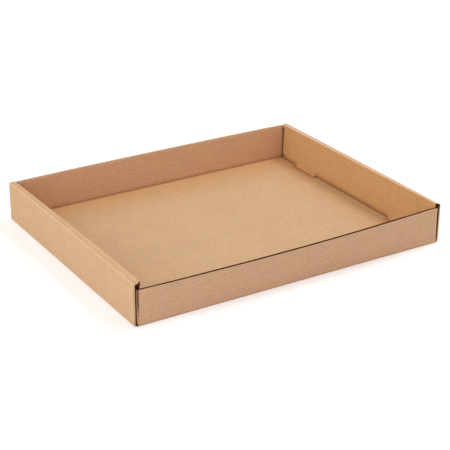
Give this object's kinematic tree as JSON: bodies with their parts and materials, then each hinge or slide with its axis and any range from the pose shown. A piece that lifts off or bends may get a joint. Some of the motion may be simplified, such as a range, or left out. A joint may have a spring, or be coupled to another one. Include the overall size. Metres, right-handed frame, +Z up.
{
  "type": "corrugated cardboard tray",
  "caption": "Shallow open tray folded from one sheet of corrugated board, with rolled-over ends whose tabs lock in floor slots.",
  "frame": {"origin": "centre of the tray's outline, on the surface that it stands on", "axes": "+X along the length, from one rolled end to the other; +Y from the front wall, which bows out most, to the back wall; +Z up"},
  "size_m": [0.46, 0.3714, 0.0589],
  "materials": {
    "corrugated_board": "uncoated kraft liner, matte"
  },
  "bodies": {
    "root": {"tray": "corrugated_board"}
  },
  "joints": []
}
